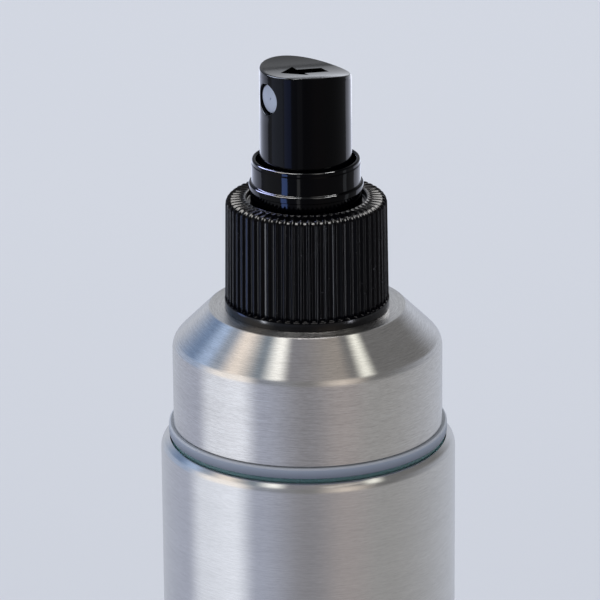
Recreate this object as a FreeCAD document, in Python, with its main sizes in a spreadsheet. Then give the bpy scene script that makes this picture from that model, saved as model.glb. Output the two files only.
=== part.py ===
"""Refillable finger-pump mist bottle: a clear glass bottle in a brushed steel
sleeve, with a steel shoulder cover, a ribbed screw closure and a finger pump.

Frame: origin at the centre of the base's underside, +Z up, the nozzle faces -Y.
All lengths are in millimetres.
"""
import FreeCAD, Part
import Sketcher
import math
import os

V = FreeCAD.Vector
doc = FreeCAD.newDocument("mist_bottle")
sheet = doc.addObject("Spreadsheet::Sheet", "dims")

# ----------------------------------------------------------------------------
# Driving dimensions
# ----------------------------------------------------------------------------
SIZES = [
    # lower sleeve
    ("sleeve_rad", 25.35), ("sleeve_sheet", 0.5), ("sleeve_top", 99.96),
    ("lip_round", 2.2), ("lip_mouth_rad", 23.85), ("sleeve_foot_round", 2.0), ("foot_panel_rad", 14.0),
    ("foot_panel_rise", 0.9),
    # glass
    ("glass_rad", 23.6), ("glass_foot", 3.2), ("glass_step", 100.69),
    ("glass_upper_rad", 21.9), ("glass_wall", 2.3), ("glass_neck_rad", 10.8),
    ("glass_bore_rad", 8.3), ("finish_top", 138.4), ("glass_shoulder", 115.4),
    # glass and closure thread
    ("thread_pitch", 3.175), ("thread_turns", 1.5), ("glass_thread_rad", 11.85),
    ("glass_thread_low", 130.5), ("cap_thread_rad", 11.05), ("cap_bore_rad", 12.05),
    # shoulder cover
    ("cover_rad", 23.13), ("cover_sheet", 0.5), ("cover_foot", 102.63),
    ("cover_break", 117.11), ("cover_top", 123.35), ("cover_hole_rad", 12.3),
    ("cover_bend", 2.75), ("cover_ledge_bend", 0.8),
    # seat ring
    ("ring_rad", 23.95), ("ring_foot", 100.70), ("ring_top", 102.26),
    ("ring_inner_rad", 21.95), ("ring_upstand_rad", 22.58), ("ring_upstand_top", 104.5),
    # closure
    ("cap_foot", 123.5), ("cap_band_rad", 14.07), ("cap_band_height", 1.45),
    ("cap_rib_rad_low", 14.0), ("cap_rib_rad_high", 13.73), ("cap_top", 142.9),
    ("cap_edge_round", 1.3), ("cap_recess_rad", 10.25), ("cap_recess_floor", 141.9),
    ("cap_web_under", 140.45), ("cap_hole_rad", 9.0), ("rib_count", 60),
    ("rib_floor_rad", 13.45), ("rib_gap_out", 0.92), ("rib_gap_in", 0.46),
    # turret collar
    ("collar_top", 149.8), ("collar_rim_rad", 9.19), ("collar_rad", 9.29),
    ("collar_bead_rad", 9.75), ("collar_bead_foot", 144.5), ("collar_neck_rad", 9.5),
    ("collar_foot", 141.95), ("collar_bore_rad", 8.5), ("spigot_rad", 8.92),
    ("spigot_bore_rad", 8.0), ("spigot_foot", 140.42), ("collar_floor", 143.0),
    ("collar_floor_hole_rad", 5.0),
    # pump housing
    ("flange_rad", 10.8), ("flange_foot", 139.4), ("flange_top", 140.4),
    ("housing_ring_rad", 7.95), ("housing_cup_rad", 6.9), ("housing_cup_bore", 5.9),
    ("housing_cup_floor", 133.0), ("barrel_rad", 4.1), ("barrel_bore", 3.0),
    ("barrel_floor", 112.0), ("ball_bore", 1.58), ("seat_hole", 1.1),
    ("seat_level", 108.6), ("socket_rad", 2.7), ("socket_bore", 1.66),
    ("socket_top", 107.6), ("socket_foot", 99.0),
    # plunger
    ("stem_rad", 2.0), ("stem_bore", 0.9), ("stem_top", 160.0), ("shank_rad", 1.25),
    ("shank_top", 132.0), ("shank_foot", 126.3), ("piston_rad", 2.95),
    ("piston_bore", 1.27), ("piston_foot", 126.4), ("piston_top", 131.95),
    ("spring_seat_foot", 125.0), ("spring_seat_rad", 2.6), ("wire_rad", 0.25),
    ("spring_rad", 2.25), ("spring_turns", 6.5), ("spring_foot", 113.3),
    ("spring_top", 124.4),
    # actuator
    ("button_rad_top", 7.74), ("button_rad_foot", 7.83), ("button_foot", 147.8),
    ("button_bore", 6.75), ("button_roof", 157.6), ("button_mid_top", 164.97),
    ("scoop_rad", 33.0), ("scoop_tilt", 5.9), ("arrow_tip", 4.9), ("arrow_neck", 0.9),
    ("arrow_tail", 3.9), ("arrow_half", 2.8), ("arrow_stem_half", 1.25), ("arrow_depth", 0.3), ("button_boss_rad", 3.4),
    ("button_boss_foot", 150.5), ("button_stem_bore", 2.04), ("nozzle_level", 161.3),
    ("nozzle_recess_rad", 2.68), ("nozzle_recess_depth", 3.0), ("nozzle_rad", 2.42),
    ("nozzle_shank_rad", 2.64), ("nozzle_orifice", 0.25), ("channel_rad", 0.8),
    # small parts
    ("ball_rad", 1.5), ("cage_top", 113.2), ("tube_rad", 1.62), ("tube_bore", 1.05),
    ("tube_foot", 9.5), ("tube_top", 107.5), ("gasket_rad", 11.5), ("gasket_bore", 8.5),
    ("cushion_foot", 1.42), ("cushion_rad", 21.5), ("band_foot", 84.0),
    ("band_height", 10.0),
]


class Dim:
    """A size with its number and the expression that drives it."""

    def __init__(self, value, text):
        self.value = float(value)
        self.text = text

    @staticmethod
    def of(x):
        return x if isinstance(x, Dim) else Dim(x, repr(float(x)))

    def __add__(self, o):
        o = Dim.of(o)
        return Dim(self.value + o.value, "(%s + %s)" % (self.text, o.text))

    def __radd__(self, o):
        return Dim.of(o) + self

    def __sub__(self, o):
        o = Dim.of(o)
        return Dim(self.value - o.value, "(%s - %s)" % (self.text, o.text))

    def __rsub__(self, o):
        return Dim.of(o) - self

    def __mul__(self, o):
        o = Dim.of(o)
        return Dim(self.value * o.value, "(%s * %s)" % (self.text, o.text))

    __rmul__ = __mul__

    def __truediv__(self, o):
        o = Dim.of(o)
        return Dim(self.value / o.value, "(%s / %s)" % (self.text, o.text))

    def __neg__(self):
        return Dim(-self.value, "(0 - %s)" % self.text)


class Sizes:
    pass


S = Sizes()
for _row, (_name, _value) in enumerate(SIZES, 1):
    sheet.set("A%d" % _row, _name)
    sheet.set("B%d" % _row, str(_value))
    sheet.setAlias("B%d" % _row, _name)
    setattr(S, _name, Dim(_value, "dims." + _name))
doc.recompute()

TAN = math.tan(math.radians(22.5))
COS = math.cos(math.radians(45.0))


def leg(long_side, other):
    """The second short side of a right triangle."""
    a, c = Dim.of(long_side), Dim.of(other)
    return Dim(math.sqrt(a.value ** 2 - c.value ** 2),
               "sqrt(%s * %s - %s * %s)" % (a.text, a.text, c.text, c.text))


# ----------------------------------------------------------------------------
# Helpers
# ----------------------------------------------------------------------------
def make_body(name, label=None):
    b = doc.addObject("PartDesign::Body", name)
    b.Label = label or name
    return b


def plane_of(body, role):
    for o in body.Origin.OriginFeatures:
        if o.Role == role:
            return o
    raise RuntimeError("no plane " + role)


def pin_point(sk, geo, pos, x, y):
    """Fix one sketch point by its distances from the sketch origin."""
    x, y = Dim.of(x), Dim.of(y)
    for kind, d, axis in (("DistanceX", x, -2), ("DistanceY", y, -1)):
        if abs(d.value) < 1e-9:
            sk.addConstraint(Sketcher.Constraint("PointOnObject", geo, pos, axis))
            continue
        if d.value > 0:
            i = sk.addConstraint(Sketcher.Constraint(kind, -1, 1, geo, pos, d.value))
        else:
            d = -d
            i = sk.addConstraint(Sketcher.Constraint(kind, geo, pos, -1, 1, d.value))
        sk.setExpression("Constraints[%d]" % i, d.text)


def outline(sk, pts):
    """Draw a closed outline. A vertex is (x, y); (x, y, radius, cx, cy, ccw)
    reaches it along an arc about (cx, cy) from the vertex before."""
    n = len(pts)
    num = lambda a: Dim.of(a).value
    edges = []
    for k in range(n):
        p, q = pts[k], pts[(k + 1) % n]
        a = V(num(p[0]), num(p[1]), 0)
        b = V(num(q[0]), num(q[1]), 0)
        if len(q) > 2:
            c = V(num(q[3]), num(q[4]), 0)
            r = num(q[2])
            ta = math.atan2(a.y - c.y, a.x - c.x)
            tb = math.atan2(b.y - c.y, b.x - c.x)
            circ = Part.Circle(c, V(0, 0, 1), r)
            if q[5]:
                if tb < ta:
                    tb += 2 * math.pi
                g = sk.addGeometry(Part.ArcOfCircle(circ, ta, tb), False)
                edges.append((g, 1, 2, q[2]))
            else:
                if ta < tb:
                    ta += 2 * math.pi
                g = sk.addGeometry(Part.ArcOfCircle(circ, tb, ta), False)
                edges.append((g, 2, 1, q[2]))
        else:
            g = sk.addGeometry(Part.LineSegment(a, b), False)
            edges.append((g, 1, 2, None))
    for k in range(n):
        g, s, e, r = edges[k]
        g2, s2, e2, r2 = edges[(k + 1) % n]
        sk.addConstraint(Sketcher.Constraint("Coincident", g, e, g2, s2))
        pin_point(sk, g, s, pts[k][0], pts[k][1])
        if r is not None:
            r = Dim.of(r)
            i = sk.addConstraint(Sketcher.Constraint("Radius", g, r.value))
            sk.setExpression("Constraints[%d]" % i, r.text)


def body_sketch(body, name, role="XZ_Plane", offset=None):
    sk = body.newObject("Sketcher::SketchObject", name)
    sk.AttachmentSupport = [(plane_of(body, role), "")]
    sk.MapMode = "FlatFace"
    if offset is not None:
        sk.AttachmentOffset = offset
    return sk


def revolve(body, name, pts):
    """Turn an outline drawn in (radius, height) about the body's Z axis."""
    sk = body_sketch(body, name + "_outline")
    outline(sk, pts)
    rev = body.newObject("PartDesign::Revolution", name)
    rev.Profile = sk
    rev.ReferenceAxis = (sk, ["V_Axis"])
    rev.Angle = 360.0
    sk.Visibility = False
    doc.recompute()
    return rev


def pocket(body, name, sk, length, mid=False, flip=False):
    """Cut a sketch into the body and make sure that it took something away."""
    before = body.Shape.Volume
    p = body.newObject("PartDesign::Pocket", name)
    p.Profile = sk
    length = Dim.of(length)
    p.Length = length.value
    p.setExpression("Length", length.text)
    if mid:
        p.Midplane = True
    if flip:
        p.Reversed = True
    doc.recompute()
    if not p.Shape.Volume < before - 1e-4:
        raise RuntimeError(name + " removed nothing")
    return p


def circle(sk, x, y, r):
    g = sk.addGeometry(Part.Circle(V(Dim.of(x).value, Dim.of(y).value, 0), V(0, 0, 1),
                                   Dim.of(r).value), False)
    pin_point(sk, g, 3, x, y)
    r = Dim.of(r)
    i = sk.addConstraint(Sketcher.Constraint("Radius", g, r.value))
    sk.setExpression("Constraints[%d]" % i, r.text)
    return g


def helix(name, pitch, height, radius, level):
    h = doc.addObject("Part::Helix", name)
    for prop, d in (("Pitch", pitch), ("Height", height), ("Radius", radius)):
        d = Dim.of(d)
        setattr(h, prop, d.value)
        h.setExpression(prop, d.text)
    h.Placement = FreeCAD.Placement(V(0, 0, Dim.of(level).value), FreeCAD.Rotation())
    h.setExpression("Placement.Base.z", Dim.of(level).text)
    return h


def upright_sketch(name):
    """A free sketch in the XZ plane: its y runs along +Z."""
    sk = doc.addObject("Sketcher::SketchObject", name)
    sk.Placement = FreeCAD.Placement(V(0, 0, 0), FreeCAD.Rotation(V(1, 0, 0), 90))
    return sk


def sweep(name, section, spine):
    s = doc.addObject("Part::Sweep", name)
    s.Sections = [section]
    s.Spine = (spine, [])
    s.Solid = True
    s.Frenet = True
    doc.recompute()
    return s


def fuse(name, base, tool):
    f = doc.addObject("Part::Fuse", name)
    f.Base, f.Tool = base, tool
    doc.recompute()
    return f


NODES = {}


def keep(node, obj):
    obj.Label = node
    NODES[node] = obj
    return obj


# ----------------------------------------------------------------------------
# Lower steel sleeve: a drawn cup, its lip rolled inward
# ----------------------------------------------------------------------------
b = make_body("steel_sleeve")
ro, ri = S.sleeve_rad, S.sleeve_rad - S.sleeve_sheet
lip_in = S.lip_round - S.sleeve_sheet
mouth = S.lip_mouth_rad - (ro - S.lip_round)
lip_z = S.sleeve_top - leg(S.lip_round, mouth)
foot_in = S.sleeve_foot_round - S.sleeve_sheet
revolve(b, "sleeve_shell", [
    (0, S.foot_panel_rise),
    (S.foot_panel_rad - 1.0, S.foot_panel_rise),
    (S.foot_panel_rad, 0),
    (ro - S.sleeve_foot_round, 0),
    (ro, S.sleeve_foot_round, S.sleeve_foot_round, ro - S.sleeve_foot_round, S.sleeve_foot_round, True),
    (ro, lip_z),
    (S.lip_mouth_rad, S.sleeve_top, S.lip_round, ro - S.lip_round, lip_z, True),
    (S.lip_mouth_rad, lip_z + leg(lip_in, mouth)),
    (ri, lip_z, lip_in, ro - S.lip_round, lip_z, False),
    (ri, S.sleeve_foot_round),
    (ri - foot_in, S.sleeve_sheet, foot_in, ri - foot_in, S.sleeve_foot_round, False),
    (S.foot_panel_rad + 0.2, S.sleeve_sheet),
    (S.foot_panel_rad - 0.8, S.foot_panel_rise + S.sleeve_sheet),
    (0, S.foot_panel_rise + S.sleeve_sheet),
])
keep("steel_sleeve", b)

# foam disc under the glass
b = make_body("base_cushion")
revolve(b, "cushion_disc", [
    (0, S.cushion_foot), (S.foot_panel_rad - 0.6, S.cushion_foot),
    (S.foot_panel_rad + 0.6, S.sleeve_sheet + 0.02),
    (S.cushion_rad, S.sleeve_sheet + 0.02), (S.cushion_rad, S.glass_foot - 0.02),
    (0, S.glass_foot - 0.02)])
keep("base_cushion", b)

# band that centres the glass in the sleeve
b = make_body("centring_band")
revolve(b, "band_ring", [
    (S.glass_rad + 0.03, S.band_foot), (ri - 0.35, S.band_foot),
    (ri - 0.03, S.band_foot + 0.5), (ri - 0.03, S.band_foot + S.band_height - 0.5),
    (ri - 0.35, S.band_foot + S.band_height), (S.glass_rad + 0.03, S.band_foot + S.band_height)])
keep("centring_band", b)

# ----------------------------------------------------------------------------
# Glass bottle with a 24/410 finish
# ----------------------------------------------------------------------------
b = make_body("glass_blank")
gi = S.glass_rad - S.glass_wall
ui = S.glass_upper_rad - 2.2
revolve(b, "glass_form", [
    (0, S.glass_foot + 1.5), (12.0, S.glass_foot + 0.9),
    (16.0, S.glass_foot), (S.glass_rad - 3.0, S.glass_foot),
    (S.glass_rad, S.glass_foot + 3.0, 3.0, S.glass_rad - 3.0, S.glass_foot + 3.0, True),
    (S.glass_rad, S.glass_step), (S.glass_upper_rad, S.glass_step),
    (S.glass_upper_rad, S.glass_shoulder),
    (S.glass_upper_rad - 6.3, S.glass_shoulder + 6.3),
    (S.glass_neck_rad + 1.0, S.glass_shoulder + 6.6),
    (S.glass_neck_rad, S.glass_shoulder + 7.6),
    (S.glass_neck_rad, S.finish_top - 0.4),
    (S.glass_neck_rad - 0.4, S.finish_top, 0.4, S.glass_neck_rad - 0.4, S.finish_top - 0.4, True),
    (S.glass_bore_rad + 0.4, S.finish_top),
    (S.glass_bore_rad, S.finish_top - 0.4, 0.4, S.glass_bore_rad + 0.4, S.finish_top - 0.4, True),
    (S.glass_bore_rad, S.glass_shoulder + 4.7),
    (S.glass_bore_rad + 1.5, S.glass_shoulder + 3.2, 1.5, S.glass_bore_rad + 1.5, S.glass_shoulder + 4.7, True),
    (ui - 6.0, S.glass_shoulder + 3.2), (ui, S.glass_shoulder - 2.8),
    (ui, S.glass_step - 2.4), (gi, S.glass_step - 4.2),
    (gi, S.glass_foot + 6.0),
    (gi - 2.4, S.glass_foot + 3.6, 2.4, gi - 2.4, S.glass_foot + 6.0, False),
    (0, S.glass_foot + 3.6)])
# outside thread, one and a half turns of a rounded ridge
hx = helix("glass_thread_path", S.thread_pitch, S.thread_pitch * S.thread_turns,
           S.glass_thread_rad, S.glass_thread_low)
sk = upright_sketch("glass_thread_section")
zc = S.glass_thread_low
outline(sk, [(S.glass_neck_rad - 0.35, zc - 1.0), (S.glass_thread_rad - 0.1, zc - 0.45),
             (S.glass_thread_rad, zc - 0.25), (S.glass_thread_rad, zc + 0.25),
             (S.glass_thread_rad - 0.1, zc + 0.45), (S.glass_neck_rad - 0.35, zc + 1.0)])
ridge = sweep("glass_thread", sk, hx)
keep("glass_bottle", fuse("glass_bottle", b, ridge))

# ----------------------------------------------------------------------------
# Shoulder cover and the ring it sits on
# ----------------------------------------------------------------------------
b = make_body("shoulder_cover")
co = S.cover_rad
cb = S.cover_bend
cbi = cb - S.cover_sheet
tan_len = cb * TAN
low = S.cover_break - tan_len                      # where the big bend starts
bx, bz = co - tan_len * COS, S.cover_break + tan_len * COS
cx, cz = co - cb, low
lb = S.cover_ledge_bend
lbi = lb - S.cover_sheet
corner = co + S.cover_break - S.cover_top          # radius where cone meets ledge
tl = lb * TAN
ex, ez = corner + tl * COS, S.cover_top - tl * COS
fx, fz = corner - tl, S.cover_top
ccx, ccz = fx, S.cover_top - lb
revolve(b, "cover_shell", [
    (co, S.cover_foot),
    (co, low),
    (bx, bz, cb, cx, cz, True),
    (ex, ez),
    (fx, fz, lb, ccx, ccz, True),
    (S.cover_hole_rad, S.cover_top),
    (S.cover_hole_rad, S.cover_top - S.cover_sheet),
    (fx, S.cover_top - S.cover_sheet),
    (ccx + lbi * COS, ccz + lbi * COS, lbi, ccx, ccz, False),
    (cx + cbi * COS, cz + cbi * COS),
    (co - S.cover_sheet, low, cbi, cx, cz, False),
    (co - S.cover_sheet, S.cover_foot),
])
keep("shoulder_cover", b)

b = make_body("cover_seat_ring")
revolve(b, "seat_ring_section", [
    (S.ring_inner_rad, S.ring_foot), (S.ring_rad - 0.15, S.ring_foot),
    (S.ring_rad, S.ring_foot + 0.15), (S.ring_rad, S.ring_top - 0.25),
    (S.ring_rad - 0.25, S.ring_top), (S.ring_upstand_rad, S.ring_top),
    (S.ring_upstand_rad, S.ring_upstand_top), (S.ring_inner_rad, S.ring_upstand_top)])
keep("cover_seat_ring", b)

# ----------------------------------------------------------------------------
# Ribbed screw closure
# ----------------------------------------------------------------------------
b = make_body("closure_blank")
er = S.cap_edge_round
rt = S.cap_rib_rad_high
revolve(b, "closure_form", [
    (S.cap_bore_rad + 0.35, S.cap_foot), (S.cap_band_rad - 0.2, S.cap_foot),
    (S.cap_band_rad, S.cap_foot + 0.2), (S.cap_band_rad, S.cap_foot + S.cap_band_height - 0.1),
    (S.cap_rib_rad_low, S.cap_foot + S.cap_band_height),
    (rt, S.cap_top - er),
    (rt - er, S.cap_top, er, rt - er, S.cap_top - er, True),
    (S.cap_recess_rad + 0.3, S.cap_top),
    (S.cap_recess_rad, S.cap_top - 0.3),
    (S.cap_recess_rad, S.cap_recess_floor), (S.cap_hole_rad, S.cap_recess_floor),
    (S.cap_hole_rad, S.cap_web_under), (S.cap_bore_rad, S.cap_web_under),
    (S.cap_bore_rad, S.cap_foot + 0.6)])
sk = body_sketch(b, "rib_gap_outline", "XY_Plane",
                 FreeCAD.Placement(V(0, 0, S.cap_foot.value + S.cap_band_height.value),
                                   FreeCAD.Rotation()))
sk.setExpression("AttachmentOffset.Base.z", "dims.cap_foot + dims.cap_band_height")
half_in, half_out = S.rib_gap_in / 2, S.rib_gap_out / 2
outline(sk, [(S.rib_floor_rad, -half_in), (S.cap_band_rad + 0.3, -half_out),
             (S.cap_band_rad + 0.3, half_out), (S.rib_floor_rad, half_in)])
doc.recompute()
gap = pocket(b, "rib_gap", sk, 25.0, flip=True)
before = b.Shape.Volume
ribs = b.newObject("PartDesign::PolarPattern", "rib_gaps")
ribs.Originals = [gap]
ribs.Axis = (sk, ["N_Axis"])
ribs.Angle = 360.0
ribs.Occurrences = int(S.rib_count.value)
ribs.setExpression("Occurrences", S.rib_count.text)
b.Tip = ribs
doc.recompute()
if not b.Shape.Volume < before - 50:
    raise RuntimeError("the rib pattern removed too little")
# inside thread, half a pitch below the glass thread
zc = S.glass_thread_low - S.thread_pitch / 2
hx = helix("closure_thread_path", S.thread_pitch, S.thread_pitch * S.thread_turns,
           S.cap_thread_rad, zc)
sk = upright_sketch("closure_thread_section")
outline(sk, [(S.cap_thread_rad, zc - 0.3), (S.cap_bore_rad + 0.35, zc - 0.75),
             (S.cap_bore_rad + 0.35, zc + 0.75), (S.cap_thread_rad, zc + 0.3)])
ridge = sweep("closure_thread", sk, hx)
keep("screw_closure", fuse("screw_closure", b, ridge))

# gasket between the glass and the pump's flange
b = make_body("neck_gasket")
revolve(b, "gasket_ring", [
    (S.gasket_bore, S.finish_top), (S.gasket_rad, S.finish_top),
    (S.gasket_rad, S.flange_foot), (S.gasket_bore, S.flange_foot)])
keep("neck_gasket", b)

# ----------------------------------------------------------------------------
# Pump housing: flange, cup for the stem guide, barrel, ball chamber, socket
# ----------------------------------------------------------------------------
b = make_body("pump_housing")
revolve(b, "housing_form", [
    (S.socket_bore, S.socket_foot), (S.socket_rad, S.socket_foot),
    (S.socket_rad, S.socket_top + 2.0), (S.barrel_rad, S.barrel_floor - 1.5),
    (S.barrel_rad, S.housing_cup_floor - 2.6), (S.housing_cup_rad, S.housing_cup_floor - 0.6),
    (S.housing_cup_rad, S.flange_foot), (S.flange_rad, S.flange_foot),
    (S.flange_rad, S.flange_top), (S.housing_ring_rad, S.flange_top),
    (S.housing_ring_rad, S.collar_foot - 0.1), (S.housing_cup_bore, S.collar_foot - 0.1),
    (S.housing_cup_bore, S.housing_cup_floor), (S.barrel_bore, S.housing_cup_floor),
    (S.barrel_bore, S.barrel_floor), (S.ball_bore, S.barrel_floor),
    (S.ball_bore, S.seat_level), (S.seat_hole, S.seat_level),
    (S.seat_hole, S.socket_top), (S.socket_bore, S.socket_top)])
# air vent through the cup's wall
sk = body_sketch(b, "vent_outline", "XZ_Plane")
circle(sk, 0, S.housing_cup_floor + 1.6, 0.45)
pocket(b, "vent", sk, 12.0)
keep("pump_housing", b)

# ----------------------------------------------------------------------------
# Turret collar: snaps to the housing through the closure's hole
# ----------------------------------------------------------------------------
b = make_body("turret_collar")
rim = 0.32
revolve(b, "collar_form", [
    (S.spigot_bore_rad, S.spigot_foot), (S.spigot_rad, S.spigot_foot),
    (S.spigot_rad, S.collar_foot), (S.collar_neck_rad, S.collar_foot),
    (S.collar_neck_rad, S.collar_bead_foot - 0.35),
    (S.collar_bead_rad - 0.25, S.collar_bead_foot),
    (S.collar_bead_rad, S.collar_bead_foot + 0.25, 0.25, S.collar_bead_rad - 0.25, S.collar_bead_foot + 0.25, True),
    (S.collar_bead_rad, S.collar_bead_foot + 0.7),
    (S.collar_rad, S.collar_bead_foot + 1.5),
    (S.collar_rad, S.collar_top - 0.95),
    (S.collar_rim_rad, S.collar_top - 0.8),
    (S.collar_rim_rad, S.collar_top - rim),
    (S.collar_rim_rad - rim, S.collar_top, rim, S.collar_rim_rad - rim, S.collar_top - rim, True),
    (S.collar_bore_rad + 0.25, S.collar_top),
    (S.collar_bore_rad, S.collar_top - 0.25),
    (S.collar_bore_rad, S.collar_floor),
    (S.collar_floor_hole_rad, S.collar_floor),
    (S.collar_floor_hole_rad, S.collar_foot),
    (S.spigot_bore_rad, S.collar_foot)])
keep("turret_collar", b)

# guide that closes the housing's cup and steadies the stem
b = make_body("stem_guide")
revolve(b, "guide_form", [
    (S.stem_rad + 0.05, S.housing_cup_floor + 2.6), (S.housing_cup_bore - 0.04, S.housing_cup_floor + 2.6),
    (S.housing_cup_bore - 0.04, S.collar_foot - 0.1), (4.2, S.collar_foot - 0.1),
    (3.4, S.collar_foot - 1.4), (S.stem_rad + 0.05, S.collar_foot - 1.4)])
keep("stem_guide", b)

# ----------------------------------------------------------------------------
# Plunger: stem, piston, spring seat; return spring
# ----------------------------------------------------------------------------
b = make_body("stem")
revolve(b, "stem_form", [
    (S.stem_bore, S.shank_foot), (S.shank_rad, S.shank_foot),
    (S.shank_rad, S.shank_top), (S.stem_rad, S.shank_top),
    (S.stem_rad, S.stem_top - 0.3), (S.stem_rad - 0.3, S.stem_top),
    (S.stem_bore, S.stem_top)])
# inlet port across the stem
sk = body_sketch(b, "port_outline", "XZ_Plane")
circle(sk, 0, S.shank_top + 0.9, 0.35)
pocket(b, "port", sk, 6.0, mid=True)
keep("stem", b)

b = make_body("piston")
revolve(b, "piston_form", [
    (S.piston_bore, S.piston_foot), (S.piston_rad - 0.1, S.piston_foot),
    (S.piston_rad, S.piston_foot + 0.5),
    (S.piston_rad - 0.35, S.piston_foot + 1.6), (S.piston_rad - 0.35, S.piston_top - 1.6),
    (S.piston_rad, S.piston_top - 0.5), (S.piston_rad - 0.1, S.piston_top),
    (S.piston_bore, S.piston_top)])
keep("piston", b)

b = make_body("spring_seat")
revolve(b, "seat_form", [
    (0, S.spring_seat_foot - 1.6), (1.2, S.spring_seat_foot - 1.6),
    (1.6, S.spring_seat_foot - 1.2), (1.6, S.spring_seat_foot),
    (S.spring_seat_rad, S.spring_seat_foot), (S.spring_seat_rad, S.shank_foot - 0.2),
    (S.stem_bore - 0.03, S.shank_foot - 0.2), (S.stem_bore - 0.03, S.shank_foot + 2.6),
    (0, S.shank_foot + 2.6)])
keep("spring_seat", b)

spring_height = S.spring_top - S.spring_foot
hx = helix("spring_path", spring_height / S.spring_turns, spring_height, S.spring_rad,
           S.spring_foot + S.wire_rad)
wire = doc.addObject("Part::Circle", "spring_wire")
wire.Radius = S.wire_rad.value
wire.setExpression("Radius", S.wire_rad.text)
wire.Placement = FreeCAD.Placement(
    V(S.spring_rad.value, 0, S.spring_foot.value + S.wire_rad.value),
    FreeCAD.Rotation(V(1, 0, 0), 90))
wire.setExpression("Placement.Base.x", S.spring_rad.text)
wire.setExpression("Placement.Base.z", "dims.spring_foot + dims.wire_rad")
keep("return_spring", sweep("return_spring", wire, hx))

# ----------------------------------------------------------------------------
# Inlet check valve and dip tube
# ----------------------------------------------------------------------------
b = make_body("ball_cage")
revolve(b, "cage_form", [
    (0.75, S.barrel_floor + 0.03), (S.barrel_bore - 0.04, S.barrel_floor + 0.03),
    (S.barrel_bore - 0.04, S.cage_top), (0.75, S.cage_top)])
sk = body_sketch(b, "cage_slot_outline", "XY_Plane",
                 FreeCAD.Placement(V(0, 0, 110), FreeCAD.Rotation()))
circle(sk, 1.75, 0, 0.55)
slot = pocket(b, "cage_slot", sk, 5.0, flip=True)
ring = b.newObject("PartDesign::PolarPattern", "cage_slots")
ring.Originals = [slot]
ring.Axis = (sk, ["N_Axis"])
ring.Angle = 360.0
ring.Occurrences = 4
b.Tip = ring
doc.recompute()
keep("ball_cage", b)

ball = doc.addObject("Part::Sphere", "inlet_ball")
ball.Radius = S.ball_rad.value
ball.setExpression("Radius", S.ball_rad.text)
rise = math.sqrt(S.ball_rad.value ** 2 - S.seat_hole.value ** 2) + 0.01
ball.Placement = FreeCAD.Placement(V(0, 0, S.seat_level.value + rise), FreeCAD.Rotation())
ball.setExpression("Placement.Base.z",
                   "dims.seat_level + sqrt(dims.ball_rad ^ 2 - dims.seat_hole ^ 2) + 0.01")
keep("inlet_ball", ball)

b = make_body("dip_tube")
revolve(b, "tube_form", [
    (S.tube_bore, S.tube_foot), (S.tube_rad, S.tube_foot),
    (S.tube_rad, S.tube_top), (S.tube_bore, S.tube_top)])
# slanted foot, so that the tube can't seal against the glass
sk = body_sketch(b, "tube_cut_outline", "XZ_Plane")
outline(sk, [(-2.5, S.tube_foot - 1.0), (2.5, S.tube_foot - 1.0), (2.5, S.tube_foot + 3.4)])
pocket(b, "tube_cut", sk, 8.0, mid=True)
keep("dip_tube", b)

# ----------------------------------------------------------------------------
# Actuator button and nozzle insert
# ----------------------------------------------------------------------------
b = make_body("actuator")
top_blank = S.button_mid_top + 3.0
revolve(b, "button_form", [
    (S.channel_rad, S.stem_top + 0.05), (S.button_stem_bore, S.stem_top + 0.05),
    (S.button_stem_bore, S.button_boss_foot + 0.4), (S.button_stem_bore + 0.3, S.button_boss_foot),
    (S.button_boss_rad, S.button_boss_foot), (S.button_boss_rad, S.button_roof),
    (S.button_bore, S.button_roof), (S.button_bore, S.button_foot),
    (S.button_rad_foot, S.button_foot), (S.button_rad_top, top_blank),
    (0, top_blank), (0, S.nozzle_level + S.channel_rad - 0.02),
    (S.channel_rad, S.nozzle_level + S.channel_rad - 0.02)])
# finger scoop: a wide trough that falls away from the nozzle
sk = body_sketch(b, "scoop_outline", "XZ_Plane")
sk.AttachmentOffset = FreeCAD.Placement(
    V(0, S.button_mid_top.value, 0), FreeCAD.Rotation(V(1, 0, 0), -S.scoop_tilt.value))
circle(sk, 0, S.scoop_rad, S.scoop_rad)
scoop = pocket(b, "scoop", sk, 60.0, mid=True)
# soft edge round the scoop
edge_names = []
for i, e in enumerate(b.Shape.Edges, 1):
    bb = e.BoundBox
    if bb.ZMin > S.button_mid_top.value - 3 and max(abs(bb.XMax), abs(bb.XMin)) > 7.0:
        edge_names.append("Edge%d" % i)
fil = b.newObject("PartDesign::Fillet", "scoop_edge")
fil.Base = (scoop, edge_names)
fil.Radius = 0.35
doc.recompute()
# shallow arrow in the top that points at the nozzle
sk = body_sketch(b, "arrow_outline", "XY_Plane")
sk.AttachmentOffset = FreeCAD.Placement(
    V(0, 0, S.button_mid_top.value), FreeCAD.Rotation(V(1, 0, 0), -S.scoop_tilt.value))
outline(sk, [(0, -S.arrow_tip), (S.arrow_half, -S.arrow_neck), (S.arrow_stem_half, -S.arrow_neck),
             (S.arrow_stem_half, S.arrow_tail), (-S.arrow_stem_half, S.arrow_tail),
             (-S.arrow_stem_half, -S.arrow_neck), (-S.arrow_half, -S.arrow_neck)])
pocket(b, "arrow", sk, S.arrow_depth * 2, mid=True)
# nozzle recess and the channel behind it
sk = body_sketch(b, "channel_outline", "XZ_Plane")
circle(sk, 0, S.nozzle_level, S.channel_rad)
pocket(b, "channel", sk, 6.5, flip=True)
sk = body_sketch(b, "recess_outline", "XZ_Plane",
                 FreeCAD.Placement(V(0, 0, S.button_rad_foot.value - S.nozzle_recess_depth.value),
                                   FreeCAD.Rotation()))
sk.setExpression("AttachmentOffset.Base.z", "dims.button_rad_foot - dims.nozzle_recess_depth")
circle(sk, 0, S.nozzle_level, S.nozzle_recess_rad)
pocket(b, "recess", sk, 6.0, flip=True)
keep("actuator", b)

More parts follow.
